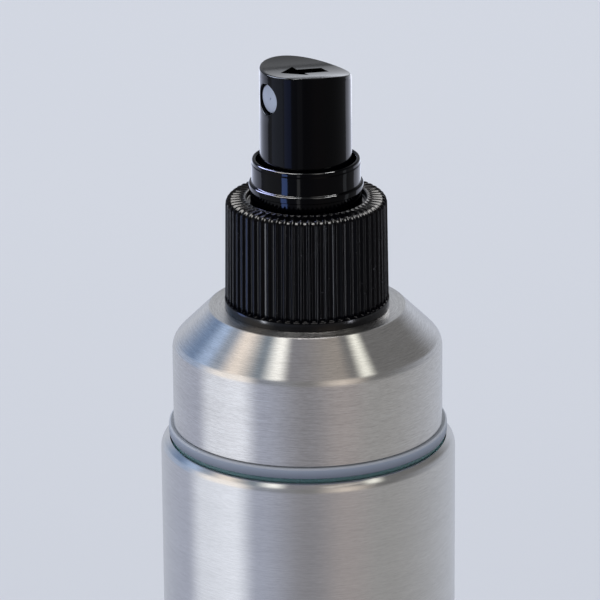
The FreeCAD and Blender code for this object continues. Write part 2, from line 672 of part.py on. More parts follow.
# nozzle insert: modelled along its own Z, then turned to face -Y
b = make_body("nozzle_insert")
depth = S.nozzle_recess_depth
revolve(b, "insert_form", [
    (S.nozzle_orifice, 0.9), (1.3, 0.9), (1.3, 0.02), (S.nozzle_shank_rad, 0.02),
    (S.nozzle_shank_rad, 1.3), (S.nozzle_rad, 1.5), (S.nozzle_rad, depth - 0.97),
    (S.nozzle_rad - 0.15, depth - 0.82), (0.75, depth - 0.82),
    (S.nozzle_orifice, depth - 1.17)])
b.Placement = FreeCAD.Placement(
    V(0, -(S.button_rad_foot.value - depth.value), S.nozzle_level.value),
    FreeCAD.Rotation(V(1, 0, 0), 90))
keep("nozzle_insert", b)

doc.recompute()

# ----------------------------------------------------------------------------
# Checks, then one STEP file for each piece
# ----------------------------------------------------------------------------
bad = [o.Name for o in doc.Objects
       if "Invalid" in o.State or "Error" in o.State]
if bad:
    raise RuntimeError("failed objects: " + ", ".join(bad))
for node, obj in NODES.items():
    shape = obj.Shape
    if shape.isNull() or not shape.isValid() or not shape.Solids:
        raise RuntimeError("bad shape: " + node)

os.makedirs("parts", exist_ok=True)
for node, obj in NODES.items():
    obj.Shape.exportStep("parts/%s.step" % node)
    bb = obj.Shape.BoundBox
    print("%-16s solids %d volume %9.2f z %.2f..%.2f r %.2f" % (
        node, len(obj.Shape.Solids), obj.Shape.Volume, bb.ZMin, bb.ZMax, max(bb.XMax, -bb.XMin)))
print(len(NODES), "pieces")
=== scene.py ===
"""Looks for the mist bottle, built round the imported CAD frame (metres, +Z up)."""

import math

import bpy
import numpy as np
from mathutils import Matrix, Vector


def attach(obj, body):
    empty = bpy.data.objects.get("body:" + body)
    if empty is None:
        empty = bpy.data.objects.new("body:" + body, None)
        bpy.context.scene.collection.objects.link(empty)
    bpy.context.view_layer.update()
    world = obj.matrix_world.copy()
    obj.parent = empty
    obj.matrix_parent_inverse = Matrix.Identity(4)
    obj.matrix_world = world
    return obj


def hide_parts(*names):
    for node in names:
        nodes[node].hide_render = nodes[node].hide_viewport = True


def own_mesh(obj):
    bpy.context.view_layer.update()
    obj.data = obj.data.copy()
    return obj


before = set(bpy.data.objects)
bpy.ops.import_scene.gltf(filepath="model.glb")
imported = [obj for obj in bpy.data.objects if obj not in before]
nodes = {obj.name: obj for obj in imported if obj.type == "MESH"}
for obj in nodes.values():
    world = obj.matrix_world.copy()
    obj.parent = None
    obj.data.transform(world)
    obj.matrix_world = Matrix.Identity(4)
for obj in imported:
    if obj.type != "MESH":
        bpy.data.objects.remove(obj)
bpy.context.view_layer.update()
MM = 0.001
Z0 = 123.5                      # level of the closure's foot, mm
CAM_AZ, CAM_EL, CAM_ROLL = 58.5, 19.68, -0.48
CAM_DIST, CAM_F = 0.8348, 4884.0


# ---------------------------------------------------------------------------
# mesh helpers
# ---------------------------------------------------------------------------
def rounded(points, seg=5):
    """Closed outline with rounded corners. Each point is (r, z) or (r, z, radius)."""
    n = len(points)
    out = []
    for i in range(n):
        p = points[i]
        c = np.array(p[:2], float)
        rad = p[2] if len(p) > 2 else 0.0
        if rad <= 0:
            out.append(tuple(c))
            continue
        a = np.array(points[i - 1][:2], float)
        b = np.array(points[(i + 1) % n][:2], float)
        u, v = a - c, b - c
        lu, lv = np.linalg.norm(u), np.linalg.norm(v)
        u, v = u / lu, v / lv
        cosang = float(np.clip(u @ v, -1, 1))
        if cosang < -0.99999:
            out.append(tuple(c))
            continue
        half = math.acos(cosang) / 2
        t = min(rad / math.tan(half), 0.48 * lu, 0.48 * lv)
        r = t * math.tan(half)
        mid = (u + v) / np.linalg.norm(u + v)
        centre = c + mid * (r / math.sin(half))
        p0, p1 = c + u * t, c + v * t
        a0 = math.atan2(*(p0 - centre)[::-1])
        a1 = math.atan2(*(p1 - centre)[::-1])
        d = (a1 - a0 + math.pi) % (2 * math.pi) - math.pi
        k = max(2, int(round(seg * abs(d) / (math.pi / 2))))
        for j in range(k + 1):
            ang = a0 + d * j / k
            out.append((centre[0] + r * math.cos(ang), centre[1] + r * math.sin(ang)))
    return out


def refine(outline, longest):
    """Splits long straight stretches, so that shading stays even."""
    out = []
    n = len(outline)
    for i in range(n):
        a, b = np.array(outline[i]), np.array(outline[(i + 1) % n])
        k = max(1, int(math.ceil(np.linalg.norm(b - a) / longest)))
        for j in range(k):
            out.append(tuple(a + (b - a) * j / k))
    return out


def new_object(name, verts, faces, sharp=32.0):
    me = bpy.data.meshes.new(name)
    me.from_pydata([tuple(v) for v in verts], [], faces)
    me.validate()
    me.update()
    me.polygons.foreach_set("use_smooth", [True] * len(me.polygons))
    if sharp is not None:
        me.set_sharp_from_angle(angle=math.radians(sharp))
    ob = bpy.data.objects.new(name, me)
    bpy.context.scene.collection.objects.link(ob)
    return ob


def grid_faces(rows, cols, wrap_rows=True, offset=0):
    f = []
    for i in range(rows if wrap_rows else rows - 1):
        i2 = (i + 1) % rows
        for j in range(cols):
            j2 = (j + 1) % cols
            f.append((offset + i * cols + j, offset + i * cols + j2,
                      offset + i2 * cols + j2, offset + i2 * cols + j))
    return f


def lathe_data(outline, seg=192, shift=None):
    """Turns a closed outline in mm about Z. Points on the axis become single poles."""
    verts, faces, index = [], [], []
    ang = np.arange(seg) * 2 * math.pi / seg
    for (r, z) in outline:
        if r < 1e-6:
            index.append([len(verts)])
            verts.append((0, 0, z * MM))
        else:
            start = len(verts)
            index.append(list(range(start, start + seg)))
            for a in ang:
                verts.append((r * math.cos(a) * MM, r * math.sin(a) * MM, z * MM))
    n = len(outline)
    for i in range(n):
        A, B = index[i], index[(i + 1) % n]
        if len(A) == 1 and len(B) == 1:
            continue
        for j in range(seg):
            j2 = (j + 1) % seg
            if len(A) == 1:
                faces.append((A[0], B[j2], B[j]))
            elif len(B) == 1:
                faces.append((A[j], A[j2], B[0]))
            else:
                faces.append((A[j], A[j2], B[j2], B[j]))
    return verts, faces


def lathe(name, outline, seg=192, sharp=32.0):
    v, f = lathe_data(outline, seg)
    return new_object(name, v, f, sharp)


def helical_ridge(section, pitch, turns, z_start, a_start=0.0, steps=72, taper=0.12):
    """Closed ridge that climbs about Z. section: (r, dz) corners. Its ends fade in."""
    n = int(steps * turns) + 1
    r_base = min(p[0] for p in section) if section[0][0] < section[-1][0] else None
    rs = [p[0] for p in section]
    base = rs[0]
    verts, faces = [], []
    for i in range(n):
        t = i / (n - 1)
        fade = min(1.0, t / taper, (1 - t) / taper)
        fade = max(0.05, math.sin(fade * math.pi / 2))
        a = a_start + 2 * math.pi * turns * t
        zc = z_start + pitch * turns * t
        for r, dz in section:
            rr = base + (r - base) * fade
            verts.append((rr * math.cos(a) * MM, rr * math.sin(a) * MM, (zc + dz * (0.4 + 0.6 * fade)) * MM))
    m = len(section)
    for i in range(n - 1):
        for j in range(m):
            j2 = (j + 1) % m
            faces.append((i * m + j, i * m + j2, (i + 1) * m + j2, (i + 1) * m + j))
    faces.append(tuple(range(m))[::-1])
    faces.append(tuple((n - 1) * m + j for j in range(m)))
    return verts, faces


def merge_data(*parts):
    verts, faces = [], []
    for v, f in parts:
        k = len(verts)
        verts += list(v)
        faces += [tuple(x + k for x in face) for face in f]
    return verts, faces


def fix_normals(ob):
    import bmesh
    bm = bmesh.new()
    bm.from_mesh(ob.data)
    bmesh.ops.recalc_face_normals(bm, faces=bm.faces)
    bm.to_mesh(ob.data)
    bm.free()
    ob.data.update()


def weld(ob, dist=1e-6, sharp=32.0):
    import bmesh
    bm = bmesh.new()
    bm.from_mesh(ob.data)
    bmesh.ops.remove_doubles(bm, verts=bm.verts, dist=dist)
    bmesh.ops.recalc_face_normals(bm, faces=bm.faces)
    bm.to_mesh(ob.data)
    bm.free()
    ob.data.polygons.foreach_set("use_smooth", [True] * len(ob.data.polygons))
    ob.data.set_sharp_from_angle(angle=math.radians(sharp))
    ob.data.update()


# ---------------------------------------------------------------------------
# node helpers and materials
# ---------------------------------------------------------------------------
class Mat:
    """Small builder for a node material."""

    def __init__(self, name):
        self.m = bpy.data.materials.new(name)
        self.m.use_nodes = True
        self.t = self.m.node_tree
        self.t.nodes.clear()
        self.out = self.n("ShaderNodeOutputMaterial")
        self.tc = self.n("ShaderNodeTexCoord")
        self.xyz = self.n("ShaderNodeSeparateXYZ")
        self.link(self.tc.outputs["Object"], self.xyz.inputs[0])

    def n(self, kind, **kw):
        node = self.t.nodes.new(kind)
        for k, v in kw.items():
            setattr(node, k, v)
        return node

    def link(self, a, b):
        self.t.links.new(a, b)

    def put(self, socket, value):
        if hasattr(value, "is_linked") or isinstance(value, bpy.types.NodeSocket):
            self.link(value, socket)
        elif isinstance(value, (tuple, list)) and len(value) == 3 and socket.type == "RGBA":
            socket.default_value = (*value, 1.0)
        else:
            socket.default_value = value

    def math(self, op, a, b=None, c=None, clamp=False):
        node = self.n("ShaderNodeMath", operation=op, use_clamp=clamp)
        for i, v in enumerate((a, b, c)):
            if v is not None:
                self.put(node.inputs[i], v)
        return node.outputs[0]

    def vec(self, x, y, z):
        node = self.n("ShaderNodeCombineXYZ")
        for i, v in enumerate((x, y, z)):
            self.put(node.inputs[i], v)
        return node.outputs[0]

    def noise(self, vector, scale=1.0, detail=2.0, rough=0.5, dist=0.0):
        node = self.n("ShaderNodeTexNoise")
        self.put(node.inputs["Vector"], vector)
        node.inputs["Scale"].default_value = scale
        node.inputs["Detail"].default_value = detail
        node.inputs["Roughness"].default_value = rough
        node.inputs["Distortion"].default_value = dist
        return node.outputs["Fac"]

    def remap(self, value, a, b, c, d):
        node = self.n("ShaderNodeMapRange")
        self.put(node.inputs["Value"], value)
        for k, v in zip(("From Min", "From Max", "To Min", "To Max"), (a, b, c, d)):
            self.put(node.inputs[k], v)
        return node.outputs["Result"]

    def mix(self, fac, a, b):
        node = self.n("ShaderNodeMix", data_type="RGBA")
        self.put(node.inputs[0], fac)
        self.put(node.inputs[6], a)
        self.put(node.inputs[7], b)
        return node.outputs[2]

    def bump(self, height, strength=0.1, distance=0.0001, normal=None):
        node = self.n("ShaderNodeBump")
        node.inputs["Strength"].default_value = strength
        node.inputs["Distance"].default_value = distance
        self.put(node.inputs["Height"], height)
        if normal is not None:
            self.link(normal, node.inputs["Normal"])
        return node.outputs["Normal"]

    def scaled(self, kx, ky, kz):
        """Object position in mm times a factor on each axis."""
        node = self.n("ShaderNodeVectorMath", operation="MULTIPLY")
        self.link(self.tc.outputs["Object"], node.inputs[0])
        node.inputs[1].default_value = (kx * 1000, ky * 1000, kz * 1000)
        return node.outputs[0]

    def principled(self, **kw):
        node = self.n("ShaderNodeBsdfPrincipled")
        for k, v in kw.items():
            self.put(node.inputs[k.replace("_", " ")], v)
        self.link(node.outputs[0], self.out.inputs["Surface"])
        return node

    def radius(self):
        x2 = self.math("MULTIPLY", self.xyz.outputs[0], self.xyz.outputs[0])
        y2 = self.math("MULTIPLY", self.xyz.outputs[1], self.xyz.outputs[1])
        return self.math("SQRT", self.math("ADD", x2, y2))


def steel(name, tint, rough, line=0.5, cone_level=None, cone_rough=None, ledge=None):
    """Steel brushed round the Z axis. The grain follows arc length up the wall."""
    m = Mat(name)
    r = m.radius()
    z = m.xyz.outputs[2]
    s = m.math("SUBTRACT", z, r)                        # runs along wall, cone and ledge alike
    s_mm = m.math("MULTIPLY", s, 1000.0)
    x_mm = m.math("MULTIPLY", m.xyz.outputs[0], 1000.0)
    y_mm = m.math("MULTIPLY", m.xyz.outputs[1], 1000.0)

    def grain(along, across, detail, rough_):
        v = m.vec(m.math("MULTIPLY", x_mm, along), m.math("MULTIPLY", y_mm, along),
                  m.math("MULTIPLY", s_mm, across))
        return m.noise(v, 1.0, detail, rough_)

    fine = grain(0.30, 9.0, 2.0, 0.6)
    mid = grain(0.10, 4.0, 3.0, 0.6)
    dash = grain(0.9, 8.0, 2.0, 0.6)
    broad = grain(0.03, 0.35, 2.0, 0.5)
    cloud = m.noise(m.scaled(0.06, 0.06, 0.05), 1.0, 3.0, 0.55)
    lines = m.math("ADD", m.math("MULTIPLY", fine, 0.75), m.math("MULTIPLY", mid, 0.25))
    # grain tints the metal slightly, as scratches shade each other
    shade = m.remap(lines, 0.3, 0.7, 1.0 - 0.16 * line, 1.0 + 0.13 * line)
    shade = m.math("MULTIPLY", shade, m.remap(dash, 0.3, 0.7, 1.0 - 0.10 * line, 1.0 + 0.10 * line))
    shade = m.math("MULTIPLY", shade, m.remap(broad, 0.3, 0.7, 0.975, 1.02))
    shade = m.math("MULTIPLY", shade, m.remap(cloud, 0.3, 0.7, 0.97, 1.02))
    col = m.n("ShaderNodeVectorMath", operation="SCALE")
    col.inputs[0].default_value = tint
    m.link(shade, col.inputs["Scale"])
    rr = m.math("ADD", m.remap(lines, 0.3, 0.7, -0.025, 0.03), rough)
    rr = m.math("ADD", rr, m.remap(cloud, 0.3, 0.7, -0.02, 0.03))
    if cone_level is not None:
        on_cone = m.remap(z, (cone_level - 0.6) * MM, (cone_level + 1.2) * MM, 0.0, cone_rough - rough)
        rr = m.math("ADD", rr, on_cone)
    if ledge is not None:
        rr = m.math("ADD", rr, m.remap(z, (ledge - 0.12) * MM, (ledge - 0.02) * MM, 0.0, 0.12))
    rr = m.math("MAXIMUM", rr, 0.05)
    tang = m.n("ShaderNodeTangent", direction_type="RADIAL", axis="Z")
    nrm = m.bump(grain(0.05, 7.0, 2.0, 0.6), 0.14 * line, 0.00002)
    nrm = m.bump(dash, 0.06 * line, 0.00002, nrm)
    p = m.principled(Metallic=1.0, Roughness=rr)
    m.link(col.outputs[0], p.inputs["Base Color"])
    m.link(nrm, p.inputs["Normal"])
    m.link(tang.outputs[0], p.inputs["Tangent"])
    p.inputs["Anisotropic"].default_value = 1.0
    p.inputs["Anisotropic Rotation"].default_value = 0.25
    return m.m


def plastic(name, colour, rough, speck=0.0, spec=0.5, coat=0.0, grain=0.02, swirl=1.0, dull_below=None):
    """Moulded plastic: slight flow tone, fine texture, and dust where asked."""
    m = Mat(name)
    flow = m.noise(m.scaled(0.10 * swirl, 0.10 * swirl, 0.04), 1.0, 3.0, 0.5, 0.6)
    fine = m.noise(m.scaled(3.0, 3.0, 3.0), 1.0, 3.0, 0.6)
    a = tuple(c * 0.85 for c in colour)
    b = tuple(c * 1.18 for c in colour)
    col = m.mix(m.remap(flow, 0.3, 0.7, 0.0, 1.0), a, b)
    if speck > 0:
        d = m.noise(m.scaled(2.1, 2.1, 2.1), 1.0, 1.0, 0.5)
        d2 = m.remap(d, 0.74, 0.80, 0.0, speck)
        col = m.mix(d2, col, (0.22, 0.22, 0.24))
    rr = m.math("ADD", m.remap(flow, 0.3, 0.7, -0.02, 0.03), m.remap(fine, 0.3, 0.7, rough - 0.02, rough + 0.03))
    nrm = m.bump(fine, grain, 0.00005)
    p = m.principled(Roughness=rr)
    m.link(col, p.inputs["Base Color"])
    m.link(nrm, p.inputs["Normal"])
    p.inputs["Specular IOR Level"].default_value = spec
    if dull_below is not None:
        z = m.xyz.outputs[2]
        band = m.remap(z, (dull_below - 0.85) * MM, (dull_below - 0.70) * MM, spec * 3.5, spec * 0.16)
        skirt = m.remap(z, (dull_below - 0.15) * MM, (dull_below + 0.25) * MM, spec * 0.03, spec)
        part = m.math("MAXIMUM", band, skirt)
        seen_in = m.n("ShaderNodeLightPath")                # the steel shows it darker than it is
        part = m.math("MULTIPLY", part, m.remap(seen_in.outputs["Is Glossy Ray"], 0.0, 1.0, 1.0, 0.08))
        m.link(part, p.inputs["Specular IOR Level"])
    p.inputs["Coat Weight"].default_value = coat
    p.inputs["Coat Roughness"].default_value = 0.05
    return m.m


def ring_material(name):
    """Grey ring with painted light: a painted highlight on the bevel, painted shade on the top face under the cover's
    edge, and a wall painted darker towards the bottom as shade.
    """
    m = Mat(name)
    r, z = m.radius(), m.xyz.outputs[2]
    fine = m.noise(m.scaled(2.0, 2.0, 2.0), 1.0, 3.0, 0.6)
    # painted shade: the wall is coloured paler at the top and darker towards the bottom
    wall = m.mix(m.remap(z, 100.8 * MM, 102.2 * MM, 0.0, 1.0), (0.20, 0.235, 0.305), (0.40, 0.455, 0.56))
    # painted shade: inward of r 23.6 mm, where the cover's edge overhangs the top face, the ring is coloured darker
    col = m.mix(m.remap(r, 23.70 * MM, 23.60 * MM, 0.0, 1.0), wall, (0.26, 0.285, 0.33))
    # painted highlight: a pale colour laid along the rounded top edge
    bevel_highlight = m.math("MULTIPLY", m.remap(z, 102.16 * MM, 102.28 * MM, 0.0, 1.0),
                   m.remap(r, 23.62 * MM, 23.72 * MM, 0.0, 1.0))
    col = m.mix(bevel_highlight, col, (0.50, 0.54, 0.62))
    p = m.principled(Roughness=m.remap(fine, 0.3, 0.7, 0.30, 0.42))
    m.link(col, p.inputs["Base Color"])
    m.link(m.bump(fine, 0.05, 0.00005), p.inputs["Normal"])
    return m.m


def glass_material(name):
    m = Mat(name)
    ripple = m.noise(m.scaled(0.08, 0.08, 0.15), 1.0, 2.0, 0.5)
    nrm = m.bump(ripple, 0.08, 0.0003)
    tone = m.mix(m.remap(ripple, 0.3, 0.7, 0.0, 1.0), (0.36, 0.76, 0.80), (0.44, 0.86, 0.88))
    p = m.principled(Roughness=0.03, IOR=1.5)
    m.link(tone, p.inputs["Base Color"])
    m.link(nrm, p.inputs["Normal"])
    p.inputs["Transmission Weight"].default_value = 0.75
    return m.m


def wire_material(name):
    m = Mat(name)
    g = m.noise(m.scaled(1.2, 1.2, 5.0), 1.0, 2.0, 0.5)
    p = m.principled(Metallic=1.0, Roughness=m.remap(g, 0.3, 0.7, 0.12, 0.25))
    col = m.mix(m.remap(g, 0.3, 0.7, 0.0, 1.0), (0.50, 0.50, 0.51), (0.66, 0.66, 0.66))
    m.link(col, p.inputs["Base Color"])
    return m.m


M = {
    "sleeve": steel("brushed_sleeve", (0.93, 0.918, 0.91), 0.14, 0.5),
    "cover": steel("brushed_cover", (0.92, 0.90, 0.885), 0.14, 1.0,
                   cone_level=117.1, cone_rough=0.11, ledge=123.35),
    "ring": ring_material("ring_grey"),
    "closure": plastic("closure_black", (0.0007, 0.0007, 0.0020), 0.16, speck=0.30, spec=0.12, grain=0.04,
                       dull_below=Z0 + 2.0),
    "gloss": plastic("collar_black", (0.0004, 0.0004, 0.0012), 0.06, spec=0.12, grain=0.003),
    "button": plastic("button_black", (0.0004, 0.0004, 0.0012), 0.10, spec=0.12, grain=0.004),
    "mark": plastic("recess_black", (0.0006, 0.0006, 0.0008), 0.80, spec=0.0, grain=0.05),
    "nozzle": plastic("nozzle_pale", (0.50, 0.56, 0.69), 0.38, grain=0.03),
    "glass": glass_material("tinted_glass"),
    "natural": plastic("natural_plastic", (0.62, 0.64, 0.63), 0.35, grain=0.03),
    "soft": plastic("soft_plastic", (0.50, 0.53, 0.56), 0.40, grain=0.03),
    "gasket": plastic("gasket_white", (0.66, 0.66, 0.63), 0.50, grain=0.08),
    "foam": plastic("black_foam", (0.03, 0.03, 0.032), 0.80, grain=0.30),
    "band": plastic("band_rubber", (0.20, 0.23, 0.23), 0.55, grain=0.10),
    "wire": wire_material("spring_wire"),
    "tube": plastic("tube_plastic", (0.60, 0.64, 0.64), 0.28, grain=0.02),
}


def paint(ob, key):
    ob.data.materials.clear()
    ob.data.materials.append(M[key])


def stand_in(ob, key, node, body):
    paint(ob, key)
    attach(ob, body)
    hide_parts(node)
    return ob


# ---------------------------------------------------------------------------
# steel sleeve: rolled lip, drawn wall, recessed base panel
# ---------------------------------------------------------------------------
def arc(cx, cz, r, a0, a1, n):
    return [(cx + r * math.cos(math.radians(a0 + (a1 - a0) * i / n)),
             cz + r * math.sin(math.radians(a0 + (a1 - a0) * i / n))) for i in range(n + 1)]


ro, ri = 25.35, 24.85
prof = [(0, 0.9), (12.6, 0.9), (13.1, 0.84), (13.9, 0.08), (14.4, 0.0), (23.35, 0.0)]
prof += arc(23.35, 2.0, 2.0, -90, 0, 8)[1:]
prof += [(ro, z) for z in (12, 24, 36, 48, 60, 72, 84, 92)]
prof += arc(23.15, 97.874, 2.2, 0, 71.45, 14)
prof += arc(23.15, 97.874, 1.7, 65.7, 0, 10)
prof += [(ri, 60), (ri, 30)] + arc(23.35, 2.0, 1.5, 0, -90, 6)
prof += [(14.5, 0.5), (13.2, 1.4), (0, 1.4)]
ob = lathe("sleeve_shell", prof, 256)
fix_normals(ob)
stand_in(ob, "sleeve", "steel_sleeve", "bottle")

# ---------------------------------------------------------------------------
# steel shoulder cover
# ---------------------------------------------------------------------------
co, brk, top, sheet = 23.13, 117.11, 123.35, 0.5
bend, lbend = 2.75, 0.8
t1 = math.tan(math.radians(22.5))
c45 = math.cos(math.radians(45))
low = brk - bend * t1
corner = co + brk - top
fx = corner - lbend * t1
prof = [(co - 0.10, 102.60), (co + 0.10, 102.62), (co + 0.13, 102.72), (co + 0.06, 103.0), (co + 0.02, 103.3)]
prof += [(co, z) for z in (103.8, 105.5, 108, 110.5, 113)]
prof += arc(co - bend, low, bend, 0, 45, 12)
prof += [(co - bend + bend * c45 + (fx + lbend * c45 - (co - bend + bend * c45)) * k,
          low + bend * c45 + (top - lbend + lbend * c45 - (low + bend * c45)) * k) for k in (0.25, 0.5, 0.75)]
prof += arc(fx, top - lbend, lbend, 45, 90, 6)
prof += [(14.5, top), (12.42, top), (12.3, top - 0.12), (12.3, top - 0.38), (12.42, top - sheet), (14.5, top - sheet)]
prof += arc(fx, top - lbend, lbend - sheet, 90, 45, 3)
prof += arc(co - bend, low, bend - sheet, 45, 0, 8)
prof += [(co - sheet, 110), (co - sheet, 102.80), (co - sheet + 0.1, 102.65)]
ob = lathe("cover_shell", prof, 256)
fix_normals(ob)
stand_in(ob, "cover", "shoulder_cover", "bottle")

# grey seat ring
prof = rounded([(21.95, 100.70), (23.95, 100.70, 0.18), (23.95, 102.50, 0.36), (22.58, 102.57),
                (22.58, 104.5, 0.2), (21.95, 104.5)], 5)
ob = lathe("seat_ring", prof, 256)
fix_normals(ob)
stand_in(ob, "ring", "cover_seat_ring", "bottle")

# ---------------------------------------------------------------------------
# glass bottle with its thread
# ---------------------------------------------------------------------------
prof = rounded([(0, 4.7), (12.0, 4.1, 3.0), (16.0, 3.2, 2.0), (23.6, 3.2, 3.0), (23.6, 100.69, 0.25),
                (21.9, 100.69, 0.3), (21.9, 115.4, 3.5), (15.6, 121.7, 1.5), (11.8, 122.0, 0.4),
                (10.8, 123.0, 0.8), (10.8, 138.4, 0.45), (8.3, 138.4, 0.45), (8.3, 120.1, 1.6),
                (13.7, 118.6, 2.0), (19.7, 112.6, 3.0), (19.7, 98.29, 1.5), (21.3, 96.5, 1.5),
                (21.3, 6.8, 2.6), (0, 6.8)], 6)
v1, f1 = lathe_data(prof, 160)
v2, f2 = helical_ridge([(10.6, -0.95), (11.75, -0.45), (11.85, -0.22), (11.85, 0.22), (11.75, 0.45), (10.6, 0.95)],
                       3.175, 1.5, 130.5)
v, f = merge_data((v1, f1), (v2, f2))
ob = new_object("glass_body", v, f)
fix_normals(ob)
stand_in(ob, "glass", "glass_bottle", "bottle")


# ---------------------------------------------------------------------------
# ribbed closure: 60 rounded ribs that run up the skirt, over the shoulder and
# inward across the top
# ---------------------------------------------------------------------------
def closure():
    ribs, per = 60, 14
    cols = ribs * per
    crest = math.radians(CAM_AZ - 90.0 + 1.8)
    ang = crest + np.arange(cols) * 2 * math.pi / cols
    u = np.abs(((np.arange(cols) / per) + 0.5) % 1.0 - 0.5) * 2.0     # 0 at a crest, 1 mid valley
    hollow = 1.0 - 0.5 * (1 + np.cos(np.pi * np.clip(u / 0.70, 0, 1)))

    pts = []                                                        # (r, z, nr, nz, depth)

    def add(r, z, nr=0.0, nz=0.0, d=0.0):
        pts.append((r, z, nr, nz, d))

    z0 = Z0
    add(12.40, z0 - 0.11)
    add(13.88, z0 - 0.12)
    add(14.03, z0 - 0.07)
    add(14.07, z0 + 0.06)
    add(14.07, z0 + 0.60)
    add(14.07, z0 + 1.10)
    add(14.06, z0 + 1.30)
    add(14.02, z0 + 1.40, 1, 0, 0.03)
    add(14.00, z0 + 1.48, 1, 0, 0.26)
    add(13.99, z0 + 1.58, 1, 0, 0.42)
    add(13.98, z0 + 1.80, 1, 0, 0.46)
    ztop = 142.9
    er = 1.3
    rt = 13.75
    for k in range(1, 15):
        t = k / 15.0
        add(13.98 + (rt - 13.98) * t, z0 + 1.8 + (ztop - er - z0 - 1.8) * t, 1, 0, 0.46 - 0.04 * t)
    for k in range(0, 11):
        a = math.radians(90.0 * k / 10)
        add(rt - er + er * math.cos(a), ztop - er + er * math.sin(a), math.cos(a), math.sin(a), 0.42 - 0.08 * k / 10)
    for k in range(1, 7):
        t = k / 7.0
        add(rt - er + (10.75 - (rt - er)) * t, ztop, 0, 1, 0.34 - 0.16 * t)
    add(10.75, ztop, 0, 1, 0.14)
    add(10.62, ztop + 0.02, 0, 1, 0.04)
    add(10.50, ztop + 0.04)
    add(10.36, ztop + 0.01)
    add(10.27, ztop - 0.09)
    add(10.25, ztop - 0.25)
    add(10.25, 142.02)
    add(10.18, 141.92)
    add(10.08, 141.90)
    add(9.10, 141.90)
    add(9.02, 141.87)
    add(9.00, 141.80)
    add(9.00, 140.50)
    add(9.05, 140.45)
    add(11.9, 140.45)
    add(12.05, 140.30)
    for z in (136.0, 131.0, 127.0, 124.3):
        add(12.05, z)
    verts = []
    ca, sa = np.cos(ang), np.sin(ang)
    for r, z, nr, nz, d in pts:
        rr = r - nr * d * hollow
        zz = z - nz * d * hollow
        block = np.stack([rr * ca, rr * sa, np.broadcast_to(zz, rr.shape)], 1) * MM
        verts += [tuple(p) for p in block]
    faces = grid_faces(len(pts), cols)
    v2, f2 = helical_ridge([(12.25, -0.75), (11.12, -0.36), (11.05, -0.2), (11.05, 0.2), (11.12, 0.36), (12.25, 0.75)],
                           3.175, 1.5, 130.5 - 3.175 / 2)
    v, f = merge_data((verts, faces), (v2, f2))
    ob = new_object("closure_ribbed", v, f, 50.0)
    fix_normals(ob)
    return ob


stand_in(closure(), "closure", "screw_closure", "closure")

# ---------------------------------------------------------------------------
# turret collar
# ---------------------------------------------------------------------------
prof = rounded([(8.0, 140.42), (8.92, 140.42, 0.12), (8.92, 141.95), (9.5, 141.95, 0.12), (9.5, 144.10, 0.15),
                (9.50, 144.5, 0.08), (9.75, 144.5, 0.15), (9.75, 145.60, 0.44), (9.29, 145.72, 0.16), (9.29, 148.9, 0.25),
                (9.19, 149.1, 0.25), (9.19, 149.8, 0.36), (8.5, 149.8, 0.30), (8.5, 143.0, 0.2),
                (5.0, 143.0, 0.12), (5.0, 141.95), (8.0, 141.95)], 12)
ob = lathe("collar_shell", refine(prof, 1.2), 256)
fix_normals(ob)
stand_in(ob, "gloss", "turret_collar", "pump_unit")


# ---------------------------------------------------------------------------
# button: a slightly tapered cap with a trough across its top and a round
# recess for the nozzle insert
# ---------------------------------------------------------------------------
def top_level(x, y):
    """Height of the scooped top, mm; the nozzle side (-y) is the high side."""
    trough = 33.0 - np.sqrt(33.0 ** 2 - np.asarray(x, float) ** 2)
    return 164.97 + math.tan(math.radians(5.9)) * (-np.asarray(y, float)) + trough


